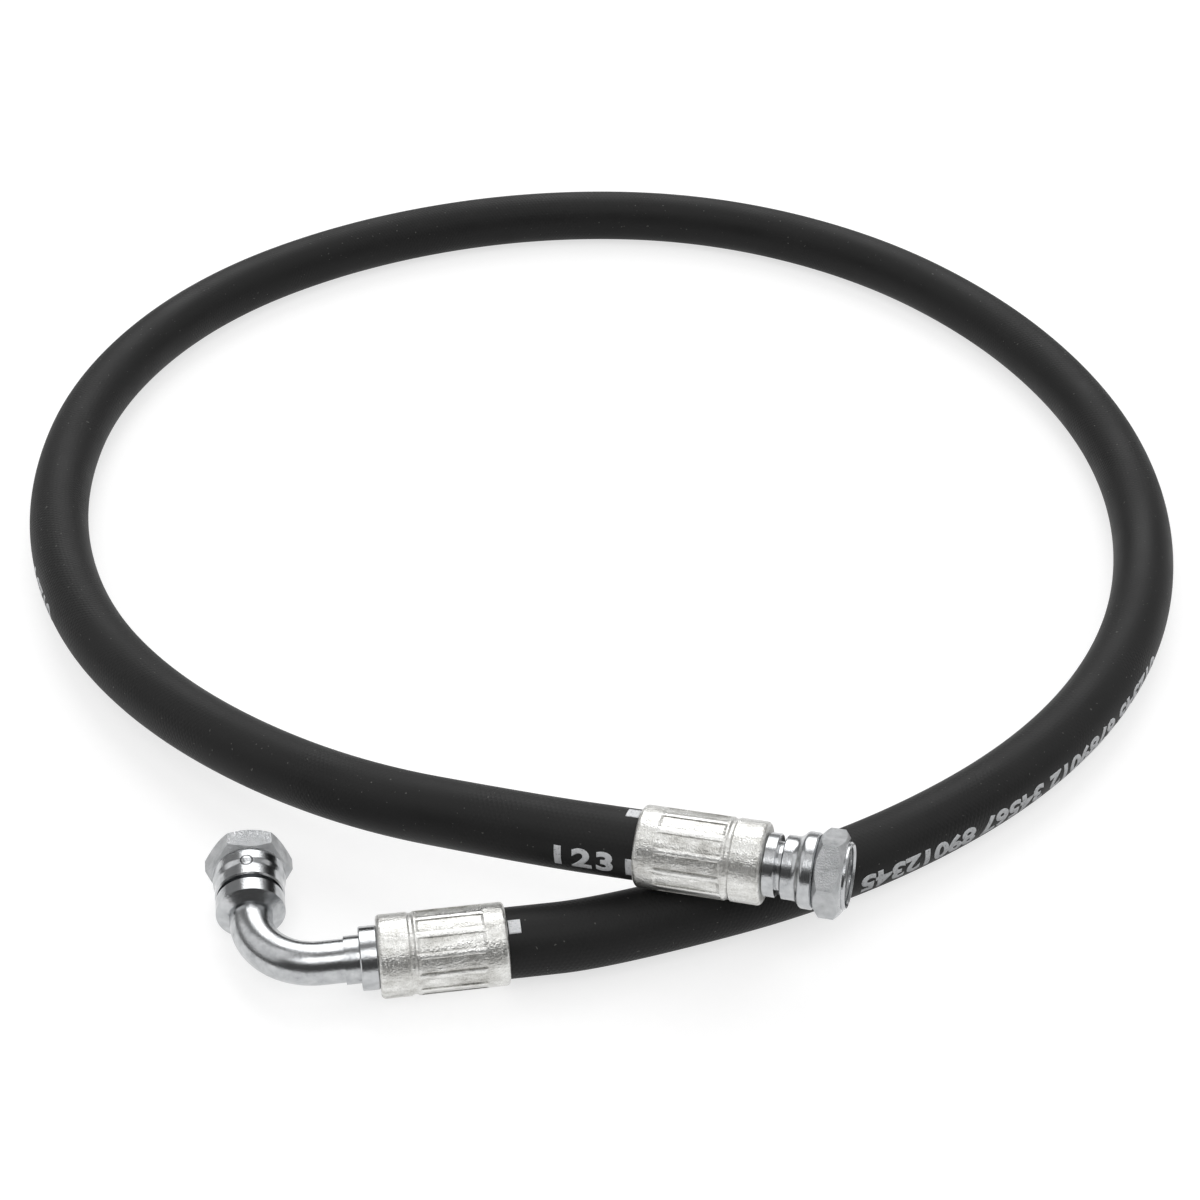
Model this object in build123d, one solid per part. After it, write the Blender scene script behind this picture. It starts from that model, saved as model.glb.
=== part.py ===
"""Hydraulic hose assembly: a two-wire-braid hose in one loose loop, with crimped end fittings.

One end has a straight fitting and the other a swept 90 degree elbow. Both carry the same G3/4
swivel nut, held on its nose by a thrust wire. Millimetres. +Z is up and the floor is Z = 0, with
the origin on the floor below the middle of the two end fittings. +X runs from the elbow's end to
the straight end.
"""
from build123d import *
from math import asin, cos, degrees, pi, radians, sin, tan
import os

# ---- hose: layers from the bore outwards ----
HOSE_BORE = 19.0
INNER_TUBE_WALL = 2.0
INNER_BRAID_WALL = 0.8
INTERLAYER_WALL = 0.3
OUTER_BRAID_WALL = 0.8
COVER_WALL = 1.3

# ---- crimped ferrule ----
FERRULE_LENGTH = 53.0
FERRULE_WALL = 2.5
FERRULE_END_ROUND = 1.8
FERRULE_MOUTH_BAND = 8.0
FERRULE_GROOVE_AT = 39.0
FERRULE_GROOVE_WIDTH = 2.8
FERRULE_GROOVE_DEPTH = 0.6
FERRULE_PANEL_COUNT = 12
FERRULE_PANEL_START = 9.0
FERRULE_PANEL_END = 37.0
FERRULE_PANEL_DEPTH = 0.45
FERRULE_PANEL_RAMP = 1.2
FERRULE_RIDGE_ANGLE = 9.0
FERRULE_TOOTH_COUNT = 6
FERRULE_TOOTH_GROOVE = 3.0
FERRULE_TOOTH_DEPTH = 0.5
FERRULE_LIP = 8.0

# ---- hose tail, the insert that the hose is crimped on ----
PASSAGE_BORE = 13.6
HOSE_STOP_LENGTH = 3.0
HOSE_STOP_DIAMETER = 25.0
LOCK_GROOVE_DIAMETER = 21.0
TAIL_COLLAR_DIAMETER = 26.4
COLLAR_EDGE_BREAK = 0.5
STRAIGHT_COLLAR_LENGTH = 5.2
ELBOW_COLLAR_LENGTH = 7.4
BARB_COUNT = 7
BARB_PITCH = 5.0
BARB_RISE = 1.0
BARB_DEPTH = 0.5
TAIL_LEAD_IN = 4.0

# ---- swivel nose: journal for the nut, 60 degree cone and O-ring ----
JOURNAL_DIAMETER = 20.0
NOSE_LENGTH = 19.0
NOSE_CONE_ANGLE = 60.0
NOSE_CONE_LENGTH = 4.0
O_RING_SECTION = 1.5
O_RING_SINK = 0.3
O_RING_FROM_TIP = 2.0

# ---- swivel nut ----
NUT_ACROSS_FLATS = 32.0
NUT_REAR_GAP = 2.3
STRAIGHT_NUT_SKIRT_DIAMETER = 26.4
ELBOW_NUT_SKIRT_DIAMETER = 29.2
NUT_SKIRT_LENGTH = 5.9
NUT_SKIRT_ROUND = 3.5
NUT_SHOULDER_CONE = 2.6
NUT_SHOULDER_ROUND = 2.4
STRAIGHT_NUT_SHOULDER_DIAMETER = 31.6
ELBOW_NUT_SHOULDER_DIAMETER = 30.6
NUT_SHOULDER_LENGTH = 5.0
NUT_HEX_LENGTH = 12.0
NUT_HEX_CHAMFER_ANGLE = 38.0
NUT_HEX_FACE_DIAMETER = 29.4
NUT_RIM_DIAMETER = 27.6
NUT_RIM_LENGTH = 1.5
NUT_EDGE_BREAK = 0.6
THREAD_MINOR_DIAMETER = 24.12
THREAD_MOUTH_CHAMFER = 0.9
THREAD_RELIEF_DIAMETER = 26.6
NUT_INNER_SHOULDER_AT = 14.2
THREAD_STARTS_AT = 19.2
FEED_HOLE_DIAMETER = 3.0
FEED_HOLE_ANGLE = 80.0

# ---- thrust wire that holds the nut on the nose ----
WIRE_DIAMETER = 2.0
WIRE_AT = 9.6
WIRE_GAP_ANGLE = 14.0
NUT_FLOAT = 0.3

# ---- elbow ----
ELBOW_TUBE_DIAMETER = 18.0
ELBOW_BEND_RADIUS = 28.0
ELBOW_CORNER_AT = 103.8
ELBOW_SOCKET_LENGTH = 6.2
ELBOW_SOCKET_WALL = 0.9
ELBOW_TUBE_IN_TAIL = 6.0
ELBOW_NOSE_AT = 30.0
ELBOW_NOSE_CONE = 2.7
ELBOW_NOSE_COLLAR_DIAMETER = 29.0
ELBOW_NOSE_COLLAR_LENGTH = 7.0
ELBOW_TUBE_IN_NOSE = 5.6

# ---- clearances, and how far a cut runs past its piece ----
CRIMP_GAP = 0.02
BRAZE_GAP = 0.05
SWIVEL_GAP = 0.06
WIRE_GAP = 0.05
CROSSING_GAP = 0.3
CUT_OVERRUN = 1.0

# ---- how the assembly lies ----
ELBOW_MOUTH_XY = (-6.4, -15.2)
ELBOW_HEADING = 188.4
STRAIGHT_MOUTH_XY = (48.9, 11.2)
STRAIGHT_HEADING = -15.4
STRAIGHT_RISE = 3.3
CROSSING_FROM_MOUTH = 21.5
CROSSED_HOSE_LIFT = 1.7
ELBOW_FIRST_RUN = 42.0
STRAIGHT_LAST_RUN = 45.0
ELBOW_NUT_TURN = 186.0
STRAIGHT_NUT_TURN = 190.0
ELBOW_CRIMP_TURN = 10.0
STRAIGHT_CRIMP_TURN = 20.0

# The free hose's corners between the two fittings: X, Y and the lift above lying on the floor.
HOSE_ROUTE = [
    (139, 31, 0),
    (231, 97, 0),
    (289, 182, 0),
    (313, 281, 0),
    (305, 383, 0),
    (263, 481, 0),
    (192, 561, 0),
    (95, 609, 0),
    (-13, 612, 0),
    (-116, 576, 0),
    (-200, 508, 0),
    (-248, 411, 0.2),
    (-253, 303, 0.9),
    (-224, 204, 3.0),
    (-167, 125, 8.5),
    (-84, 59, 19.0),
]
ARC_SHARE = 0.45

# ---- worked out from the sizes above ----
LAYER_WALLS = [
    ("hose_inner_tube", INNER_TUBE_WALL),
    ("hose_inner_wire_braid", INNER_BRAID_WALL),
    ("hose_rubber_interlayer", INTERLAYER_WALL),
    ("hose_outer_wire_braid", OUTER_BRAID_WALL),
    ("hose_cover", COVER_WALL),
]
HOSE_R = HOSE_BORE / 2 + sum(wall for _, wall in LAYER_WALLS)
FERRULE_R = HOSE_R + CRIMP_GAP + FERRULE_WALL
PASSAGE_R = PASSAGE_BORE / 2
JOURNAL_R = JOURNAL_DIAMETER / 2
WIRE_R = WIRE_DIAMETER / 2
TUBE_R = ELBOW_TUBE_DIAMETER / 2
HOSE_END_AT = FERRULE_LENGTH - FERRULE_LIP - HOSE_STOP_LENGTH
STRAIGHT_COLLAR_END = FERRULE_LENGTH + STRAIGHT_COLLAR_LENGTH
ELBOW_COLLAR_END = FERRULE_LENGTH + ELBOW_COLLAR_LENGTH
ELBOW_JOURNAL_AT = ELBOW_NOSE_AT + ELBOW_NOSE_CONE + ELBOW_NOSE_COLLAR_LENGTH
WIRE_RING_R = JOURNAL_R + SWIVEL_GAP / 2
NUT_HEX_AT = NUT_REAR_GAP + NUT_SKIRT_LENGTH + NUT_SHOULDER_CONE + NUT_SHOULDER_LENGTH
NUT_FRONT_AT = NUT_HEX_AT + NUT_HEX_LENGTH + NUT_RIM_LENGTH


def direction(heading, rise):
    """Unit vector at a compass angle from +X about +Z, and an angle above the floor."""
    flat = cos(radians(rise))
    return Vector(flat * cos(radians(heading)), flat * sin(radians(heading)), sin(radians(rise)))


def turned(outline, rounds=()):
    """Solid of revolution about Z from (radius, height) corners, some rounded: (corner, radius)."""
    corners = [(radius, 0, height) for radius, height in outline]
    section = make_face(Polyline(*corners, close=True)).face()
    for corner, round_r in rounds:
        spot = Vector(*corners[outline.index(corner)])
        section = section.fillet_2d(round_r, [section.vertices().sort_by_distance(spot)[0]])
    return revolve(section, Axis.Z)


def ring(radius, section, height=0):
    """Closed ring of round section about Z."""
    return Pos(0, 0, height) * Torus(radius, section)


def bar(radius, start, end):
    """Round bar about Z between two heights."""
    return Pos(0, 0, start) * Cylinder(radius, end - start, align=(Align.CENTER, Align.CENTER, Align.MIN))


def crimp_panels(turn):
    """The arcs that the crimping dies press into a ferrule; the first ridge between them is at turn."""
    floor = FERRULE_R - FERRULE_PANEL_DEPTH
    top = FERRULE_R + CUT_OVERRUN
    ramp = FERRULE_PANEL_RAMP * (top - floor) / FERRULE_PANEL_DEPTH
    low = FERRULE_PANEL_START + FERRULE_PANEL_RAMP
    high = FERRULE_PANEL_END - FERRULE_PANEL_RAMP
    corners = [(floor, 0, low), (top, 0, low - ramp), (top, 0, high + ramp), (floor, 0, high)]
    step = 360 / FERRULE_PANEL_COUNT
    section = make_face(Polyline(*corners, close=True))
    cut = revolve(section, Axis.Z, revolution_arc=step - FERRULE_RIDGE_ANGLE)
    first = turn + FERRULE_RIDGE_ANGLE / 2
    return [Rot(0, 0, first + i * step) * cut for i in range(FERRULE_PANEL_COUNT)]


def ferrule(turn):
    """Crimped shell: fluted body, plain bands, one groove, teeth inside and a lip at the back."""
    body = bar(FERRULE_R, 0, FERRULE_LENGTH)
    body = fillet(body.edges().filter_by(GeomType.CIRCLE), FERRULE_END_ROUND)
    bore_r = HOSE_R + CRIMP_GAP
    body -= bar(bore_r, 0, FERRULE_LENGTH - FERRULE_LIP)
    body -= bar(LOCK_GROOVE_DIAMETER / 2 + CRIMP_GAP, 0, FERRULE_LENGTH)
    groove_section = (FERRULE_GROOVE_WIDTH**2 / 4 + FERRULE_GROOVE_DEPTH**2) / (2 * FERRULE_GROOVE_DEPTH)
    groove_r = FERRULE_R - FERRULE_GROOVE_DEPTH + groove_section
    body -= ring(groove_r, groove_section, FERRULE_GROOVE_AT)
    first = FERRULE_MOUTH_BAND
    pitch = (HOSE_END_AT - first) / FERRULE_TOOTH_COUNT
    for i in range(FERRULE_TOOTH_COUNT):
        low = first + i * pitch
        body -= bar(bore_r + FERRULE_TOOTH_DEPTH, low, low + FERRULE_TOOTH_GROOVE)
    for cut in crimp_panels(turn):
        body -= cut
    return body


def shank(collar_end):
    """Outline of the barbed shank, hose stop, lock groove and collar, from the tip to the collar's end."""
    crest = HOSE_BORE / 2 - CRIMP_GAP
    valley = crest - BARB_DEPTH
    start = HOSE_END_AT - BARB_COUNT * BARB_PITCH
    tip = start - TAIL_LEAD_IN
    outline = [(PASSAGE_R, tip), (valley - BARB_DEPTH, tip), (valley, start)]
    for i in range(BARB_COUNT):
        low = start + i * BARB_PITCH
        outline += [(crest, low + BARB_RISE), (valley, low + BARB_PITCH)]
    stop_r = HOSE_STOP_DIAMETER / 2
    lock_r = LOCK_GROOVE_DIAMETER / 2
    stop_end = HOSE_END_AT + HOSE_STOP_LENGTH
    collar_r = TAIL_COLLAR_DIAMETER / 2
    outline += [
        (valley, HOSE_END_AT + CRIMP_GAP),
        (stop_r, HOSE_END_AT + CRIMP_GAP),
        (stop_r, stop_end - CRIMP_GAP),
        (lock_r, stop_end - CRIMP_GAP),
        (lock_r, FERRULE_LENGTH + CRIMP_GAP),
        (collar_r - COLLAR_EDGE_BREAK, FERRULE_LENGTH + CRIMP_GAP),
        (collar_r, FERRULE_LENGTH + CRIMP_GAP + COLLAR_EDGE_BREAK),
        (collar_r, collar_end - COLLAR_EDGE_BREAK),
        (collar_r - COLLAR_EDGE_BREAK, collar_end),
    ]
    return outline


def nose_outline(base):
    """Outline of the journal and the cone in front of a collar that ends at a given height."""
    tip = base + NOSE_LENGTH
    drop = NOSE_CONE_LENGTH * tan(radians(NOSE_CONE_ANGLE / 2))
    groove_r = WIRE_RING_R - WIRE_R - WIRE_GAP
    half = WIRE_R + NUT_FLOAT + WIRE_GAP
    return [
        (JOURNAL_R, base),
        (JOURNAL_R, base + WIRE_AT - half),
        (groove_r, base + WIRE_AT - half),
        (groove_r, base + WIRE_AT + half),
        (JOURNAL_R, base + WIRE_AT + half),
        (JOURNAL_R, tip - NOSE_CONE_LENGTH),
        (JOURNAL_R - drop, tip),
        (PASSAGE_R, tip),
    ]


def o_ring_place(base):
    """Radius and height of the O-ring's section on the cone of a nose."""
    half_angle = radians(NOSE_CONE_ANGLE / 2)
    drop = (NOSE_CONE_LENGTH - O_RING_FROM_TIP) * tan(half_angle)
    radius = JOURNAL_R - drop - O_RING_SINK * cos(half_angle)
    height = base + NOSE_LENGTH - O_RING_FROM_TIP - O_RING_SINK * sin(half_angle)
    return radius, height


def with_o_ring_groove(nose, base):
    radius, height = o_ring_place(base)
    return nose - ring(radius, O_RING_SECTION / 2 + CRIMP_GAP, height)


def o_ring(base):
    radius, height = o_ring_place(base)
    return ring(radius, O_RING_SECTION / 2, height)


def straight_tail():
    outline = shank(STRAIGHT_COLLAR_END) + nose_outline(STRAIGHT_COLLAR_END)
    return with_o_ring_groove(turned(outline), STRAIGHT_COLLAR_END)


def elbow_tail():
    """Shank with a socket at its back, in which the bent tube is brazed."""
    socket_r = TUBE_R + BRAZE_GAP
    sleeve_r = socket_r + ELBOW_SOCKET_WALL
    end = ELBOW_COLLAR_END + ELBOW_SOCKET_LENGTH
    floor = end - ELBOW_TUBE_IN_TAIL - BRAZE_GAP
    outline = shank(ELBOW_COLLAR_END)
    outline += [(sleeve_r, ELBOW_COLLAR_END), (sleeve_r, end), (socket_r, end), (socket_r, floor)]
    return turned(outline + [(PASSAGE_R, floor)])


def elbow_nose():
    """Collar, journal and cone on the bent tube's other end, measured from the elbow's corner."""
    socket_r = TUBE_R + BRAZE_GAP
    collar_r = ELBOW_NOSE_COLLAR_DIAMETER / 2
    floor = ELBOW_NOSE_AT + ELBOW_TUBE_IN_NOSE + BRAZE_GAP
    outline = [
        (PASSAGE_R, floor),
        (socket_r, floor),
        (socket_r, ELBOW_NOSE_AT),
        (socket_r + ELBOW_SOCKET_WALL, ELBOW_NOSE_AT),
        (collar_r, ELBOW_NOSE_AT + ELBOW_NOSE_CONE),
        (collar_r, ELBOW_JOURNAL_AT - COLLAR_EDGE_BREAK),
        (collar_r - COLLAR_EDGE_BREAK, ELBOW_JOURNAL_AT),
    ]
    nose = turned(outline + nose_outline(ELBOW_JOURNAL_AT))
    return with_o_ring_groove(nose, ELBOW_JOURNAL_AT)


def nut(skirt_diameter, shoulder_diameter, turn):
    """Swivel nut, measured from the collar behind it: skirt, shoulder, hexagon, rim and thread bore."""
    skirt_r = skirt_diameter / 2
    shoulder_r = shoulder_diameter / 2
    relief_r = THREAD_RELIEF_DIAMETER / 2
    shoulder_break = min(NUT_EDGE_BREAK, (shoulder_r - relief_r) / 2)
    skirt_end = NUT_REAR_GAP + NUT_SKIRT_LENGTH
    cone_end = skirt_end + NUT_SHOULDER_CONE
    outline = [
        (0, NUT_REAR_GAP),
        (skirt_r - NUT_EDGE_BREAK, NUT_REAR_GAP),
        (skirt_r, NUT_REAR_GAP + NUT_EDGE_BREAK),
        (skirt_r, skirt_end),
        (shoulder_r, cone_end),
        (shoulder_r, NUT_HEX_AT - shoulder_break),
        (shoulder_r - shoulder_break, NUT_HEX_AT),
        (0, NUT_HEX_AT),
    ]
    rounds = [((skirt_r, skirt_end), NUT_SKIRT_ROUND), ((shoulder_r, cone_end), NUT_SHOULDER_ROUND)]
    back = turned(outline, rounds)
    corner_r = NUT_ACROSS_FLATS / 2 / cos(pi / 6)
    face_r = NUT_HEX_FACE_DIAMETER / 2
    chamfer = (corner_r - face_r) * tan(radians(NUT_HEX_CHAMFER_ANGLE))
    hex_end = NUT_HEX_AT + NUT_HEX_LENGTH
    prism = Pos(0, 0, NUT_HEX_AT) * extrude(RegularPolygon(corner_r, 6), NUT_HEX_LENGTH)
    prism &= turned(
        [
            (0, NUT_HEX_AT),
            (face_r, NUT_HEX_AT),
            (corner_r, NUT_HEX_AT + chamfer),
            (corner_r, hex_end - chamfer),
            (face_r, hex_end),
            (0, hex_end),
        ]
    )
    rim_r = NUT_RIM_DIAMETER / 2
    rim = turned(
        [
            (0, hex_end),
            (rim_r, hex_end),
            (rim_r, NUT_FRONT_AT - NUT_EDGE_BREAK),
            (rim_r - NUT_EDGE_BREAK, NUT_FRONT_AT),
            (0, NUT_FRONT_AT),
        ]
    )
    journal_bore_r = JOURNAL_R + SWIVEL_GAP
    thread_r = THREAD_MINOR_DIAMETER / 2
    inside = turned(
        [
            (0, 0),
            (journal_bore_r, 0),
            (journal_bore_r, NUT_INNER_SHOULDER_AT),
            (relief_r, NUT_INNER_SHOULDER_AT),
            (relief_r, THREAD_STARTS_AT),
            (thread_r, THREAD_STARTS_AT),
            (thread_r, NUT_FRONT_AT - THREAD_MOUTH_CHAMFER),
            (thread_r + THREAD_MOUTH_CHAMFER, NUT_FRONT_AT),
            (0, NUT_FRONT_AT),
        ]
    )
    body = back + prism + rim - inside - ring(WIRE_RING_R, WIRE_R + WIRE_GAP, WIRE_AT)
    feed = Pos(0, 0, WIRE_AT) * Rot(0, 90, 0) * bar(FEED_HOLE_DIAMETER / 2, WIRE_RING_R, NUT_ACROSS_FLATS)
    return Rot(0, 0, turn) * (body - Rot(0, 0, FEED_HOLE_ANGLE) * feed)


def thrust_wire():
    """Split ring of wire between the nose's groove and the nut's groove."""
    whole = ring(WIRE_RING_R, WIRE_R, WIRE_AT)
    half_gap = WIRE_RING_R * tan(radians(WIRE_GAP_ANGLE / 2))
    gap = Pos(-WIRE_RING_R, 0, WIRE_AT) * Box(4 * WIRE_R, 2 * half_gap, 4 * WIRE_R)
    return whole - gap


def bent_tube():
    """Elbow tube from the tail's socket round the bend into the nose's socket."""
    start = ELBOW_COLLAR_END + ELBOW_SOCKET_LENGTH - ELBOW_TUBE_IN_TAIL
    end = ELBOW_NOSE_AT + ELBOW_TUBE_IN_NOSE
    path = FilletPolyline(
        (0, 0, start), (0, 0, ELBOW_CORNER_AT), (0, end, ELBOW_CORNER_AT), radius=ELBOW_BEND_RADIUS
    )
    section = Circle(TUBE_R) - Circle(PASSAGE_R)
    return sweep(Pos(0, 0, start) * section, path)


def arc_radii(points):
    """One radius for each corner of the hose's route, as large as its two runs allow."""
    runs = [b - a for a, b in zip(points, points[1:])]
    radii = []
    for before, after in zip(runs, runs[1:]):
        half_turn = radians(before.get_angle(after) / 2)
        radii.append(ARC_SHARE * min(before.length, after.length) / tan(half_turn))
    return radii


def hose_layer(path, inner_r, outer_r):
    end_plane = Plane(path @ 0, z_dir=path % 0)
    return sweep(end_plane * (Circle(outer_r) - Circle(inner_r)), path)


# ---- where the two fittings lie ----
elbow_axis = direction(ELBOW_HEADING, 0)
elbow_mouth = Vector(*ELBOW_MOUTH_XY, FERRULE_R)
straight_axis = direction(STRAIGHT_HEADING, STRAIGHT_RISE)
crossed_to_axis = (HOSE_R + FERRULE_R + CROSSING_GAP) / cos(radians(STRAIGHT_RISE))
crossing_height = HOSE_R + CROSSED_HOSE_LIFT + crossed_to_axis
straight_mouth_z = crossing_height - CROSSING_FROM_MOUTH * sin(radians(STRAIGHT_RISE))
straight_mouth = Vector(*STRAIGHT_MOUTH_XY, straight_mouth_z)

# ---- the hose's path, from its end in the elbow's ferrule to its end in the straight ferrule ----
corners = [elbow_mouth - elbow_axis * ELBOW_FIRST_RUN]
corners += [Vector(x, y, HOSE_R + lift) for x, y, lift in HOSE_ROUTE]
corners += [straight_mouth - straight_axis * STRAIGHT_LAST_RUN]
hose_points = [elbow_mouth + elbow_axis * HOSE_END_AT, *corners, straight_mouth + straight_axis * HOSE_END_AT]
radii = arc_radii(hose_points)
hose_path = FilletPolyline(*hose_points, radius=radii)

nodes = {}
layer_r = HOSE_BORE / 2
for name, wall in LAYER_WALLS:
    nodes[name] = hose_layer(hose_path, layer_r, layer_r + wall)
    layer_r += wall

# ---- the straight end ----
straight_end = Plane(straight_mouth, x_dir=(0, 0, 1), z_dir=straight_axis).location
straight_swivel = straight_end * Pos(0, 0, STRAIGHT_COLLAR_END)
nodes["straight_hose_tail"] = straight_end * straight_tail()
nodes["straight_ferrule"] = straight_end * ferrule(STRAIGHT_CRIMP_TURN)
nodes["straight_nose_o_ring"] = straight_end * o_ring(STRAIGHT_COLLAR_END)
nodes["straight_thrust_wire"] = straight_swivel * thrust_wire()
nodes["straight_swivel_nut"] = straight_swivel * nut(
    STRAIGHT_NUT_SKIRT_DIAMETER, STRAIGHT_NUT_SHOULDER_DIAMETER, STRAIGHT_NUT_TURN
)

# ---- the elbow end: its leg leaves the corner level and at right angles ----
leg_axis = direction(ELBOW_HEADING - 90, 0)
elbow_end = Plane(elbow_mouth, x_dir=leg_axis.cross(elbow_axis), z_dir=elbow_axis).location
elbow_corner = elbow_mouth + elbow_axis * ELBOW_CORNER_AT
elbow_leg = Plane(elbow_corner, x_dir=elbow_axis, z_dir=leg_axis).location
elbow_swivel = elbow_leg * Pos(0, 0, ELBOW_JOURNAL_AT)
nodes["elbow_hose_tail"] = elbow_end * elbow_tail()
nodes["elbow_ferrule"] = elbow_end * ferrule(ELBOW_CRIMP_TURN)
nodes["elbow_bent_tube"] = elbow_end * bent_tube()
nodes["elbow_swivel_nose"] = elbow_leg * elbow_nose()
nodes["elbow_nose_o_ring"] = elbow_leg * o_ring(ELBOW_JOURNAL_AT)
nodes["elbow_thrust_wire"] = elbow_swivel * thrust_wire()
nodes["elbow_swivel_nut"] = elbow_swivel * nut(
    ELBOW_NUT_SKIRT_DIAMETER, ELBOW_NUT_SHOULDER_DIAMETER, ELBOW_NUT_TURN
)

os.makedirs("parts", exist_ok=True)
for name, shape in nodes.items():
    export_step(shape, f"parts/{name}.step")

free_length = hose_path.length - 2 * HOSE_END_AT
cover_area = pi * (HOSE_R**2 - (HOSE_R - COVER_WALL) ** 2)
print("hose radii:", [round(radius) for radius in radii])
print(f"hose from end to end {hose_path.length:.1f}, free between the ferrules {free_length:.1f}")
print(f"cover volume {nodes['hose_cover'].volume:.0f}")
print(f"cover section times length {cover_area * hose_path.length:.0f}")
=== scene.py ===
"""Hydraulic hose assembly: camera, hose, print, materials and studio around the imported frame.

Lengths are in metres, and angles in radians unless a comment says degrees.
"""
from math import cos, pi, radians, sin, tau

import bmesh
import bpy
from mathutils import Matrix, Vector


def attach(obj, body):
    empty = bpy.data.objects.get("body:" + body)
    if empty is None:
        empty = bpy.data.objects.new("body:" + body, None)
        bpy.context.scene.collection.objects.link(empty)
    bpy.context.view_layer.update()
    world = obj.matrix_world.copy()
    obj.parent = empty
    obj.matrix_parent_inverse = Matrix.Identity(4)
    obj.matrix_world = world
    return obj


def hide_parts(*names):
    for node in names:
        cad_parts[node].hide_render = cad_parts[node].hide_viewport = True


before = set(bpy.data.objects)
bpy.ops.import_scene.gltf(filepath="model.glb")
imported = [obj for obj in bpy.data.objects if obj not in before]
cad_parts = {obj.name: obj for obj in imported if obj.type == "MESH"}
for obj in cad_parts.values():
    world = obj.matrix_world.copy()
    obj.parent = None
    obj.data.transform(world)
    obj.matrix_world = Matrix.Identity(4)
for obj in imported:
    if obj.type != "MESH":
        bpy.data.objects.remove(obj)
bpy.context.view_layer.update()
BODY = "hose_assembly"

# ---- camera: fitted to the photo, with its tilt in degrees and its lens in millimetres ----
CAMERA_AT = (0.032, -0.688, 0.718)
CAMERA_TILT = 52.2
CAMERA_LENS = 70.0
CAMERA_SENSOR = 36.0
CAMERA_CLIP = 0.01

# ---- hose: the corners of part.py's route, and the two fittings' mouths ----
HOSE_R = 0.0147
GIRTH = tau * HOSE_R
HIDDEN_END = 0.028  # of the drawn tube, inside each ferrule
ELBOW_HEIGHT = 0.01722
ELBOW_MOUTH = Vector((-0.0064, -0.0152, ELBOW_HEIGHT))
ELBOW_AXIS = Vector((-0.98927, -0.14608, 0.0))
LEG_AXIS = Vector((-0.14608, 0.98927, 0.0))
ELBOW_REACH = 0.1038  # from the mouth to where the bent tube's two axes meet
ELBOW_CORNER = ELBOW_MOUTH + ELBOW_AXIS * ELBOW_REACH
STRAIGHT_MOUTH = Vector((0.0489, 0.0112, 0.04744))
STRAIGHT_AXIS = Vector((0.96250, -0.26512, 0.05756))
ROUTE = [
    ELBOW_MOUTH + ELBOW_AXIS * HIDDEN_END,
    ELBOW_MOUTH,
    (0.03515, -0.00906, ELBOW_HEIGHT),
    (0.139, 0.031, HOSE_R),
    (0.231, 0.097, HOSE_R),
    (0.289, 0.182, HOSE_R),
    (0.313, 0.281, HOSE_R),
    (0.305, 0.383, HOSE_R),
    (0.263, 0.481, HOSE_R),
    (0.192, 0.561, HOSE_R),
    (0.095, 0.609, HOSE_R),
    (-0.013, 0.612, HOSE_R),
    (-0.116, 0.576, HOSE_R),
    (-0.200, 0.508, HOSE_R),
    (-0.248, 0.411, 0.0149),
    (-0.253, 0.303, 0.0156),
    (-0.224, 0.204, 0.0177),
    (-0.167, 0.125, 0.0232),
    (-0.084, 0.059, 0.0337),
    (0.00559, 0.02313, 0.04485),
    STRAIGHT_MOUTH,
    STRAIGHT_MOUTH + STRAIGHT_AXIS * HIDDEN_END,
]
SPLINE_ORDER = 3
STEPS_PER_CORNER = 20
ROUND_SIDES = 96
WRAP_PITCH = 0.0022  # of the cloth's faint marks on the cover
WRAP_STARTS = 24

# ---- print on the hose ----
INK_HEIGHT = 0.00012  # above the cover
INK_DEPTH = 0.0002  # into the cover
CUT_STEP = 0.0008
DIGIT_SHARE = 0.7  # a digit's height in a font of size 1
STROKE_GROWTH = 0.055  # of a digit's height
DIGIT_CURVE_STEPS = 4
MERGE_WITHIN = 1e-7
PRINT_LINE = "012345 6789012 34567 89012345"
PRINT_HEIGHT = 0.0085
PRINT_ANGLE = radians(76.5)
PRINT_FRONT_AT = 0.389  # distances along the hose's line, from its elbow end
PRINT_BACK_AT = 1.070
PRINT_LEFT_AT = 1.550

# ---- fittings ----
RIDGE_COUNT = 12  # thin raised lines between the crimped panels of a ferrule
RIDGE_TURN = radians(20)
RIDGE_HALF = radians(4.5)
RIDGE_HEIGHT = 0.0003
RIDGE_START = 0.0096
RIDGE_END = 0.0364
HEXAGON = (0.0162, 0.0274)  # from and to along a nut
STRAIGHT_NUT_AT = 0.0582  # along the fitting's axis
ELBOW_NUT_AT = 0.0397
STAMP_ALONG = 0.0493  # from the elbow's corner, on top of its nut
STAMP_RISE = 0.0152
STAMP_AT = ELBOW_CORNER + LEG_AXIS * STAMP_ALONG + Vector((0, 0, STAMP_RISE))
STAMP_R = 0.0024
STAMP_HALF_WIDTH = 0.0003

# ---- studio ----
FLOOR_SIZE = 12.0
FLOOR_SHADE = 0.4
FLOOR_FIBRE = 0.01  # its shade's change to both sides
FLOOR_GLOW = 0.7
ROOM_BACK = 0.25
ROOM_FRONT = 0.08
# softboxes in the room: heights from and to, angles away from +Y from and to, and a soft edge,
# all in degrees, and then their brightness
SOFTBOXES = [
    (23, 75, -90, 24, 5, 2.9),
    (49, 76, 140, 270, 5, 2.5),
    (20, 82, 58, 130, 8, 0.85),
]


def add_camera():
    data = bpy.data.cameras.new("camera")
    data.lens = CAMERA_LENS
    data.sensor_width = CAMERA_SENSOR
    data.clip_start = CAMERA_CLIP
    camera = bpy.data.objects.new("camera", data)
    bpy.context.scene.collection.objects.link(camera)
    camera.location = CAMERA_AT
    camera.rotation_euler = (radians(CAMERA_TILT), 0, 0)
    bpy.context.scene.camera = camera


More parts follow.
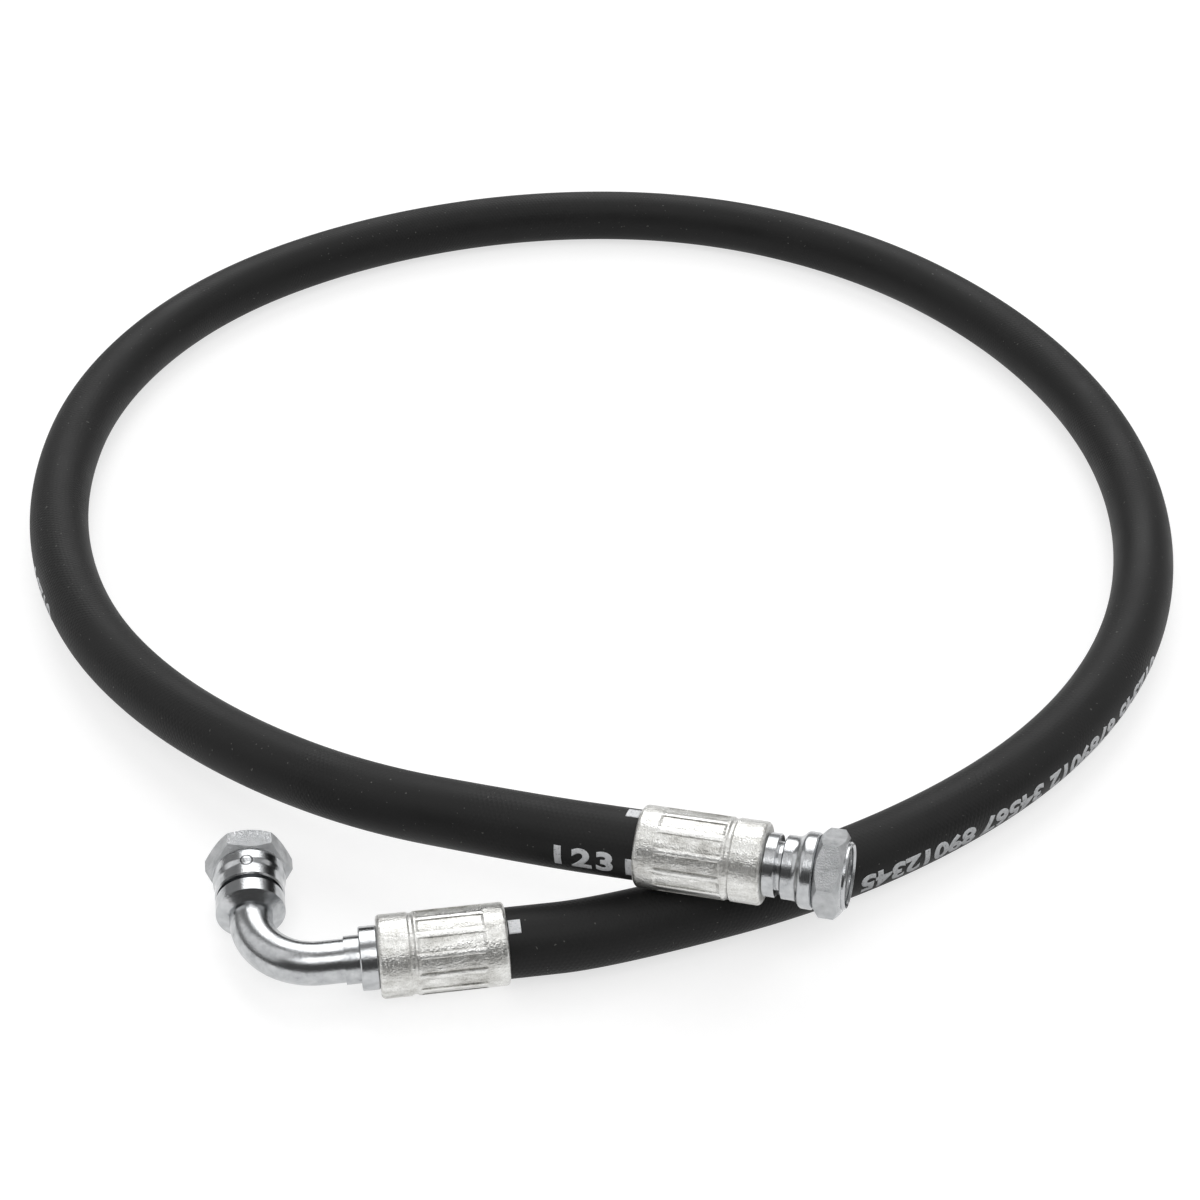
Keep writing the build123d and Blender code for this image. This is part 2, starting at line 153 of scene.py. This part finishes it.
def mesh_object(name, bm, material):
    mesh = bpy.data.meshes.new(name)
    bm.to_mesh(mesh)
    bm.free()
    mesh.materials.append(material)
    for polygon in mesh.polygons:
        polygon.use_smooth = True
    piece = bpy.data.objects.new(name, mesh)
    bpy.context.scene.collection.objects.link(piece)
    return piece


def route_line():
    """Points of the smooth line whose control points are the hose's route."""
    data = bpy.data.curves.new("hose_route", "CURVE")
    data.dimensions = "3D"
    data.resolution_u = STEPS_PER_CORNER
    spline = data.splines.new("NURBS")
    spline.points.add(len(ROUTE) - 1)
    for point, corner in zip(spline.points, ROUTE):
        point.co = (*corner, 1)
    spline.order_u = SPLINE_ORDER
    spline.use_endpoint_u = True
    curve = bpy.data.objects.new("hose_route", data)
    bpy.context.scene.collection.objects.link(curve)
    mesh = bpy.data.meshes.new_from_object(curve)
    line = [vertex.co.copy() for vertex in mesh.vertices]
    bpy.data.objects.remove(curve)
    bpy.data.meshes.remove(mesh)
    return line


class Tube:
    """The hose's line, and places on its surface by distance along it and angle from its top."""

    def __init__(self, line):
        self.line = line
        self.along = [0.0]
        for a, b in zip(line, line[1:]):
            self.along.append(self.along[-1] + (b - a).length)
        self.length = self.along[-1]
        self.frames = []
        for i, point in enumerate(line):
            ahead = (line[min(i + 1, len(line) - 1)] - line[max(i - 1, 0)]).normalized()
            side = ahead.cross(Vector((0, 0, 1))).normalized()
            self.frames.append((point, side, side.cross(ahead)))

    def place(self, distance, angle, radius):
        """A point on the surface: angle 0 is the top, and grows to the right of the way ahead."""
        i = 0
        while i < len(self.along) - 2 and self.along[i + 1] < distance:
            i += 1
        step = self.along[i + 1] - self.along[i]
        share = (distance - self.along[i]) / step
        spots = []
        for point, side, up in self.frames[i:i + 2]:
            spots.append(point + (side * sin(angle) + up * cos(angle)) * radius)
        return spots[0].lerp(spots[1], share)


# ---- materials ----
class Graph:
    """Short calls for the nodes of a material or a world."""

    def __init__(self, tree):
        self.tree = tree

    def node(self, kind, **values):
        made = self.tree.nodes.new(kind)
        for key, value in values.items():
            setattr(made, key, value)
        return made

    def link(self, source, target):
        self.tree.links.new(source, target)

    def math(self, operation, a, b=0.0):
        made = self.node("ShaderNodeMath", operation=operation)
        for socket, value in zip(made.inputs, (a, b)):
            if isinstance(value, (int, float)):
                socket.default_value = value
            else:
                self.link(value, socket)
        return made.outputs["Value"]

    def sum(self, *terms):
        """Sum of terms, each a value and its share."""
        total = None
        for value, share in terms:
            part = self.math("MULTIPLY", value, share)
            total = self.math("ADD", total, part) if total else part
        return total

    def range(self, value, low, high, to_low, to_high):
        """Maps a value from one range to another, and holds it at the ends."""
        made = self.node("ShaderNodeMapRange")
        bounds = {"From Min": low, "From Max": high, "To Min": to_low, "To Max": to_high}
        for key, number in bounds.items():
            made.inputs[key].default_value = number
        self.link(value, made.inputs["Value"])
        return made.outputs["Result"]

    def band(self, value, low, high, soft):
        """1 between two values and 0 outside them, with soft edges."""
        rise = self.range(value, low - soft, low + soft, 0, 1)
        return self.math("MULTIPLY", rise, self.range(value, high - soft, high + soft, 1, 0))

    def split(self, vector):
        """The X, Y and Z sockets of a vector."""
        made = self.node("ShaderNodeSeparateXYZ")
        self.link(vector, made.inputs["Vector"])
        return [made.outputs[axis] for axis in "XYZ"]


class Paint(Graph):
    """A Principled material."""

    def __init__(self, name, metallic=0.0, roughness=0.5, specular=0.5):
        self.material = bpy.data.materials.new(name)
        self.material.use_nodes = True
        super().__init__(self.material.node_tree)
        self.shader = self.tree.nodes["Principled BSDF"]
        self.shader.inputs["Metallic"].default_value = metallic
        self.shader.inputs["Roughness"].default_value = roughness
        self.shader.inputs["Specular IOR Level"].default_value = specular

    def place(self, origin=(0, 0, 0), turn=(0, 0, 0), stretch=(1, 1, 1)):
        """Coordinates of the piece, in a frame of a fitting."""
        local = self.node("ShaderNodeMapping", vector_type="TEXTURE")
        local.inputs["Location"].default_value = origin
        local.inputs["Rotation"].default_value = turn
        self.link(self.node("ShaderNodeTexCoord").outputs["Object"], local.inputs["Vector"])
        scaled = self.node("ShaderNodeMapping")
        scaled.inputs["Scale"].default_value = stretch
        self.link(local.outputs["Vector"], scaled.inputs["Vector"])
        return scaled.outputs["Vector"]

    def noise(self, place, grain, detail=3.0, roughness=0.55):
        """Noise whose grains are about that many metres across."""
        made = self.node("ShaderNodeTexNoise")
        made.inputs["Scale"].default_value = 1 / grain
        made.inputs["Detail"].default_value = detail
        made.inputs["Roughness"].default_value = roughness
        self.link(place, made.inputs["Vector"])
        return made.outputs["Fac"]

    def colour(self, value, *stops):
        """Base colour from a value by stops, each a position and a grey or an rgb."""
        ramp = self.node("ShaderNodeValToRGB")
        elements = ramp.color_ramp.elements
        while len(elements) < len(stops):
            elements.new(0.5)
        for element, (position, shade) in zip(elements, stops):
            element.position = position
            element.color = (*shade, 1) if isinstance(shade, tuple) else (shade, shade, shade, 1)
        self.link(value, ramp.inputs["Fac"])
        self.link(ramp.outputs["Color"], self.shader.inputs["Base Color"])

    def roughness(self, value, low, high, to_low, to_high):
        """Roughness from a value's range."""
        self.link(self.range(value, low, high, to_low, to_high), self.shader.inputs["Roughness"])

    def bump(self, *layers):
        """Bumps one over another, each a height, its depth in metres and its strength."""
        normal = None
        for height, depth, strength in layers:
            made = self.node("ShaderNodeBump")
            made.inputs["Distance"].default_value = depth
            made.inputs["Strength"].default_value = strength
            self.link(height, made.inputs["Height"])
            if normal:
                self.link(normal, made.inputs["Normal"])
            normal = made.outputs["Normal"]
        self.link(normal, self.shader.inputs["Normal"])


def fitting_turn(axis):
    """Euler angles of a frame whose Z is a fitting's axis."""
    return axis.to_track_quat("Z", "Y").to_euler()


def cover_rubber():
    """Black cover: cloudy, with faint patches of wrapping marks, fine grain and a few specks."""
    paint = Paint("cover_rubber", roughness=0.55, specular=0.23)
    place = paint.place()
    cloudy = paint.noise(place, grain=0.045, detail=4.0)
    fine = paint.noise(place, grain=0.0011, detail=2.0)
    dust = paint.noise(place, grain=0.0014, detail=0.0)
    along, around, _ = paint.split(paint.node("ShaderNodeTexCoord").outputs["UV"])
    turns = paint.math("MULTIPLY", along, tau / WRAP_PITCH)
    threads = []
    for starts in (WRAP_STARTS, -WRAP_STARTS):
        lean = paint.math("MULTIPLY", around, tau * starts / GIRTH)
        threads.append(paint.math("SINE", paint.math("ADD", turns, lean)))
    weave = paint.math("MAXIMUM", *threads)
    patchy = paint.range(paint.noise(place, grain=0.06, detail=2.0), 0.42, 0.62, 0.1, 1.0)
    weave = paint.math("MULTIPLY", weave, patchy)
    specks = paint.range(dust, 0.81, 0.84, 0.0, 1.0)
    shade = paint.sum((cloudy, 0.8), (specks, 0.5))
    paint.colour(shade, (0.2, 0.012), (0.55, 0.019), (1.0, (0.1, 0.1, 0.095)))
    paint.roughness(cloudy, 0.3, 0.7, 0.5, 0.64)
    paint.bump((weave, 0.00012, 0.55), (fine, 0.00012, 0.5))
    return paint.material


def print_ink():
    """White ink, a little worn."""
    paint = Paint("white_print", roughness=0.6, specular=0.3)
    worn = paint.noise(paint.place(), grain=0.0012, detail=4.0, roughness=0.7)
    paint.colour(
        worn,
        (0.3, (0.4, 0.41, 0.42)),
        (0.45, (0.75, 0.76, 0.78)),
        (0.8, (0.86, 0.87, 0.88)),
    )
    paint.roughness(worn, 0.3, 0.7, 0.75, 0.5)
    paint.bump((worn, 0.0001, 0.4))
    return paint.material


def satin_zinc(name, axis, origin):
    """Zinc plate on a ferrule: mottled, grainy, and ridged where the crimping dies met, with a
    painted highlight along each ridge and painted shade at its feet.
    """
    paint = Paint(name, metallic=1.0, roughness=0.42)
    turn = fitting_turn(axis)
    place = paint.place(origin, turn)
    streaked = paint.place(origin, turn, (1, 1, 0.35))
    mottle = paint.noise(streaked, grain=0.003, detail=4.0, roughness=0.62)
    grain = paint.noise(place, grain=0.00075, detail=2.0)
    wide = paint.noise(place, grain=0.011, detail=2.0)
    x, y, z = paint.split(place)
    side = 1 if axis.x < 0 else -1
    angle = paint.math("ARCTAN2", paint.math("MULTIPLY", x, side), y)
    wave = paint.math("MULTIPLY", paint.math("SUBTRACT", angle, RIDGE_TURN), RIDGE_COUNT)
    wave = paint.math("COSINE", wave)
    length = paint.band(z, RIDGE_START, RIDGE_END, 0.0008)
    half = cos(RIDGE_COUNT * RIDGE_HALF)
    ridge = paint.math("MULTIPLY", paint.range(wave, half, 1, 0, 1), length)
    # painted shade: the colour darkens in a thin band along the foot of each ridge
    painted_ridge_foot_shade = paint.math("MULTIPLY", paint.band(wave, half - 0.25, half, 0.1), length)
    mixed = paint.sum((mottle, 0.5), (wide, 0.25), (grain, 0.25))
    # the zinc's own mottled tone, plus painted shade at the ridges' feet and a painted highlight on
    # their tops
    shade = paint.sum((mixed, 1.0), (painted_ridge_foot_shade, -0.08), (ridge, 0.12))
    paint.colour(
        shade,
        (0.3, (0.26, 0.255, 0.24)),
        (0.43, (0.55, 0.545, 0.52)),
        (0.6, (0.84, 0.84, 0.82)),
    )
    paint.roughness(mixed, 0.35, 0.65, 0.38, 0.25)
    paint.bump((ridge, RIDGE_HEIGHT, 1.0), (mottle, 0.0007, 0.45), (grain, 0.0004, 0.7))
    return paint.material


def bright_zinc(name, axis, origin, hexagon=None, stamp=None):
    """Zinc plate on a turned piece: bright, with faint turning rings, and rough on a drawn hexagon.

    The stamp is the centre of a ring sunk into a nut, and the ring's groove gets painted shade in
    the colour.
    """
    paint = Paint(name, metallic=1.0, roughness=0.2)
    turn = fitting_turn(axis)
    place = paint.place(origin, turn)
    rings = paint.noise(paint.place(origin, turn, (0.06, 0.06, 1)), grain=0.00035, detail=1.0)
    cloud = paint.noise(place, grain=0.005)
    grain = paint.noise(place, grain=0.0009, roughness=0.6)
    shade = cloud
    rough = paint.range(cloud, 0.3, 0.7, 0.26, 0.15)
    relief = paint.math("MULTIPLY", grain, 0.25)
    if hexagon:
        _, _, z = paint.split(place)
        drawn = paint.band(z, *hexagon, 0.0004)
        scale = paint.noise(place, grain=0.0007, detail=2.0, roughness=0.7)
        flats = paint.math("MULTIPLY", paint.range(scale, 0.35, 0.65, 0, 1), drawn)
        rough = paint.math("ADD", rough, paint.math("MULTIPLY", drawn, 0.12))
        relief = paint.math("ADD", relief, paint.math("MULTIPLY", flats, 0.8))
    layers = [(rings, 0.00006, 0.3), (relief, 0.0003, 0.7)]
    if stamp:
        reach = paint.node("ShaderNodeVectorMath", operation="DISTANCE")
        paint.link(paint.place(), reach.inputs[0])
        reach.inputs[1].default_value = stamp
        inner, outer = STAMP_R - STAMP_HALF_WIDTH, STAMP_R + STAMP_HALF_WIDTH
        ring = paint.band(reach.outputs["Value"], inner, outer, 0.0001)
        # painted shade: the colour darkens in the sunk ring's groove
        shade = paint.math("SUBTRACT", shade, paint.math("MULTIPLY", ring, 0.45))
        layers.append((ring, 0.0002, 1.0))
    # the darkest stop takes the ring's painted shade
    paint.colour(
        shade,
        (0.1, (0.13, 0.13, 0.135)),
        (0.35, (0.43, 0.44, 0.45)),
        (0.6, (0.52, 0.53, 0.54)),
        (0.9, (0.62, 0.62, 0.63)),
    )
    paint.link(rough, paint.shader.inputs["Roughness"])
    paint.bump(*layers)
    return paint.material


def o_ring_rubber():
    """Black rubber with an oil film."""
    paint = Paint("o_ring_rubber", roughness=0.32, specular=0.5)
    place = paint.place()
    film = paint.noise(place, grain=0.002)
    paint.colour(film, (0.3, 0.012), (0.7, 0.03))
    paint.roughness(film, 0.3, 0.7, 0.25, 0.42)
    paint.bump((paint.noise(place, grain=0.0006, detail=2.0), 0.00004, 0.4))
    return paint.material


def spring_steel():
    """Drawn wire."""
    paint = Paint("spring_steel", metallic=1.0, roughness=0.3)
    drawn = paint.noise(paint.place(), grain=0.0008)
    paint.colour(drawn, (0.3, (0.3, 0.3, 0.31)), (0.7, (0.5, 0.5, 0.51)))
    paint.roughness(drawn, 0.3, 0.7, 0.25, 0.4)
    paint.bump((drawn, 0.00004, 0.4))
    return paint.material


# ---- the hose: one smooth tube in place of the five layers of the CAD hose ----
def hose_mesh(tube, material):
    """Rings of vertices along the tube, with distances along and round it as its UVs."""
    bm = bmesh.new()
    uv = bm.loops.layers.uv.new("around")
    rings = []
    for point, side, up in tube.frames:
        ring = []
        for k in range(ROUND_SIDES):
            angle = pi + tau * k / ROUND_SIDES
            ring.append(bm.verts.new(point + (side * sin(angle) + up * cos(angle)) * HOSE_R))
        rings.append(ring)
    for i, (near, far) in enumerate(zip(rings, rings[1:])):
        for k in range(ROUND_SIDES):
            after = (k + 1) % ROUND_SIDES
            face = bm.faces.new((near[k], near[after], far[after], far[k]))
            corners = ((i, k), (i, k + 1), (i + 1, k + 1), (i + 1, k))
            for loop, (row, turn) in zip(face.loops, corners):
                loop[uv].uv = (tube.along[row], GIRTH * turn / ROUND_SIDES)
    bm.faces.new(rings[0])
    bm.faces.new(reversed(rings[-1]))
    bmesh.ops.recalc_face_normals(bm, faces=bm.faces)
    return mesh_object("hose", bm, material)


# ---- white print: plain numerals in place of the hose's marking, and the fitters' paint dabs ----
def sliced(bm, step):
    """Cuts a flat shape into a grid fine enough to bend."""
    for axis in (0, 1):
        values = [vert.co[axis] for vert in bm.verts]
        cut = min(values) + step
        while cut < max(values):
            normal = [0, 0, 0]
            normal[axis] = 1
            spot = [0, 0, 0]
            spot[axis] = cut
            every = bm.verts[:] + bm.edges[:] + bm.faces[:]
            bmesh.ops.bisect_plane(bm, geom=every, plane_co=spot, plane_no=normal)
            cut += step
    bmesh.ops.triangulate(bm, faces=bm.faces)


def wrapped(bm, start, angle, heading):
    """Bends a flat shape onto the hose: its X runs along the hose and its Y round it."""
    for vert in bm.verts:
        x, y, z = vert.co
        vert.co = tube.place(start + heading * x, angle - heading * y / HOSE_R, HOSE_R + z)
    bmesh.ops.recalc_face_normals(bm, faces=bm.faces)


def numerals(name, text, height, start, angle, heading, gap=1.0, widen=1.25):
    """Raised digits on the hose: heading 1 reads toward the straight end, and -1 away from it."""
    data = bpy.data.curves.new(name, "FONT")
    data.body = text
    data.size = height / DIGIT_SHARE
    data.space_character = gap
    data.extrude = (INK_HEIGHT + INK_DEPTH) / 2
    data.offset = height * STROKE_GROWTH
    data.resolution_u = DIGIT_CURVE_STEPS
    flat = bpy.data.objects.new(name, data)
    bpy.context.scene.collection.objects.link(flat)
    mesh = bpy.data.meshes.new_from_object(flat)
    bpy.data.objects.remove(flat)
    bm = bmesh.new()
    bm.from_mesh(mesh)
    bpy.data.meshes.remove(mesh)
    bmesh.ops.remove_doubles(bm, verts=bm.verts, dist=MERGE_WITHIN)
    for vert in bm.verts:
        vert.co.x *= widen
        vert.co.z += (INK_HEIGHT - INK_DEPTH) / 2
    sliced(bm, CUT_STEP)
    wrapped(bm, start, angle, heading)
    return mesh_object(name, bm, INK)


def dab(name, long, wide, start, angle):
    """A stroke of paint on the hose."""
    bm = bmesh.new()
    bmesh.ops.create_cube(bm, size=1)
    for vert in bm.verts:
        x, y, z = vert.co
        vert.co = ((x + 0.5) * long, y * wide, INK_HEIGHT if z > 0 else -INK_DEPTH)
    sliced(bm, CUT_STEP)
    wrapped(bm, start, angle, 1)
    return mesh_object(name, bm, INK)


# ---- the fittings keep their CAD shapes and get their finishes ----
def finish_node(node, material):
    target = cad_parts[node]
    target.data.materials.clear()
    target.data.materials.append(material)


def finish_end(end, tail_axis, mouth, nut_axis, nut_origin, nut_at, stamp):
    """Finishes what both fittings have."""
    finish_node(f"{end}_ferrule", satin_zinc(f"{end}_ferrule_zinc", tail_axis, mouth))
    finish_node(f"{end}_hose_tail", bright_zinc(f"{end}_tail_zinc", tail_axis, mouth))
    hexagon = [nut_at + reach for reach in HEXAGON]
    nut_zinc = bright_zinc(f"{end}_nut_zinc", nut_axis, nut_origin, hexagon, stamp)
    finish_node(f"{end}_swivel_nut", nut_zinc)
    finish_node(f"{end}_thrust_wire", WIRE)
    finish_node(f"{end}_nose_o_ring", RUBBER)


# ---- studio ----
def add_floor():
    """White paper that glows to the camera and to the metal but lights nothing else."""
    bm = bmesh.new()
    bmesh.ops.create_grid(bm, x_segments=4, y_segments=4, size=FLOOR_SIZE / 2)
    paint = Paint("floor_paper", roughness=0.9, specular=0.1)
    fibre = paint.noise(paint.place(), grain=0.004, detail=2.0)
    paint.colour(fibre, (0.3, FLOOR_SHADE - FLOOR_FIBRE), (0.7, FLOOR_SHADE + FLOOR_FIBRE))
    paint.shader.inputs["Emission Color"].default_value = (1, 1, 1, 1)
    rays = paint.node("ShaderNodeLightPath").outputs
    seen = paint.math("MAXIMUM", rays["Is Camera Ray"], rays["Is Glossy Ray"])
    seen = paint.math("MAXIMUM", seen, rays["Is Transmission Ray"])
    glow = paint.math("MULTIPLY", seen, FLOOR_GLOW)
    paint.link(glow, paint.shader.inputs["Emission Strength"])
    mesh_object("floor", bm, paint.material)


def add_world():
    """A studio as bright metal sees it: softboxes in a dark room, and white to the camera."""
    world = bpy.data.worlds.new("studio")
    world.use_nodes = True
    room = Graph(world.node_tree)
    x, y, z = room.split(room.node("ShaderNodeTexCoord").outputs["Generated"])
    height = room.math("ARCSINE", z)
    aside = room.math("ABSOLUTE", room.math("ARCTAN2", x, y))

    def edge(value, at, soft, to_low, to_high):
        return room.range(value, radians(at - soft), radians(at + soft), to_low, to_high)

    level = room.math("ADD", edge(aside, 95, 40, ROOM_BACK - ROOM_FRONT, 0), ROOM_FRONT)
    for low, high, left, right, soft, power in SOFTBOXES:
        box = edge(height, low, soft, 0, power)
        for side in (
            edge(height, high, soft, 1, 0),
            edge(aside, left, soft, 0, 1),
            edge(aside, right, soft, 1, 0),
        ):
            box = room.math("MULTIPLY", box, side)
        level = room.math("ADD", level, box)
    camera_ray = room.node("ShaderNodeLightPath").outputs["Is Camera Ray"]
    seen = room.math("MULTIPLY", room.math("SUBTRACT", 1.0, level), camera_ray)
    light = world.node_tree.nodes["Background"]
    room.link(room.math("ADD", level, seen), light.inputs["Strength"])
    light.inputs["Color"].default_value = (1, 1, 1, 1)
    bpy.context.scene.world = world


add_camera()
tube = Tube(route_line())
COVER = cover_rubber()
INK = print_ink()
RUBBER = o_ring_rubber()
WIRE = spring_steel()

hose = hose_mesh(tube, COVER)
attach(hose, BODY)
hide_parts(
    "hose_cover",
    "hose_outer_wire_braid",
    "hose_rubber_interlayer",
    "hose_inner_wire_braid",
    "hose_inner_tube",
)

at_straight = tube.length - HIDDEN_END
marks = [
    numerals(
        "print_by_straight_end", "123", 0.0088, at_straight - 0.0353, radians(101), 1, 1.2, 1.3
    ),
    numerals("print_along_front", PRINT_LINE, PRINT_HEIGHT, PRINT_FRONT_AT, PRINT_ANGLE, -1),
    numerals("print_along_back", PRINT_LINE, PRINT_HEIGHT, PRINT_BACK_AT, PRINT_ANGLE, -1),
    numerals("print_along_left", "01234", PRINT_HEIGHT, PRINT_LEFT_AT, PRINT_ANGLE, -1),
    dab("paint_dab_elbow", 0.005, 0.0062, HIDDEN_END + 0.0005, radians(18)),
    dab("paint_dab_straight_top", 0.0055, 0.0062, at_straight - 0.006, radians(-14)),
    dab("paint_dab_straight_front", 0.0026, 0.0085, at_straight - 0.0028, radians(88)),
]
for mark in marks:
    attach(mark, BODY)

finish_end(
    "straight", STRAIGHT_AXIS, STRAIGHT_MOUTH, STRAIGHT_AXIS, STRAIGHT_MOUTH, STRAIGHT_NUT_AT, None
)
finish_end("elbow", ELBOW_AXIS, ELBOW_MOUTH, LEG_AXIS, ELBOW_CORNER, ELBOW_NUT_AT, STAMP_AT)
finish_node("elbow_swivel_nose", bright_zinc("elbow_nose_zinc", LEG_AXIS, ELBOW_CORNER))
finish_node("elbow_bent_tube", bright_zinc("elbow_tube_zinc", ELBOW_AXIS, ELBOW_MOUTH))

add_floor()
add_world()
bpy.context.scene.view_settings.view_transform = "Standard"
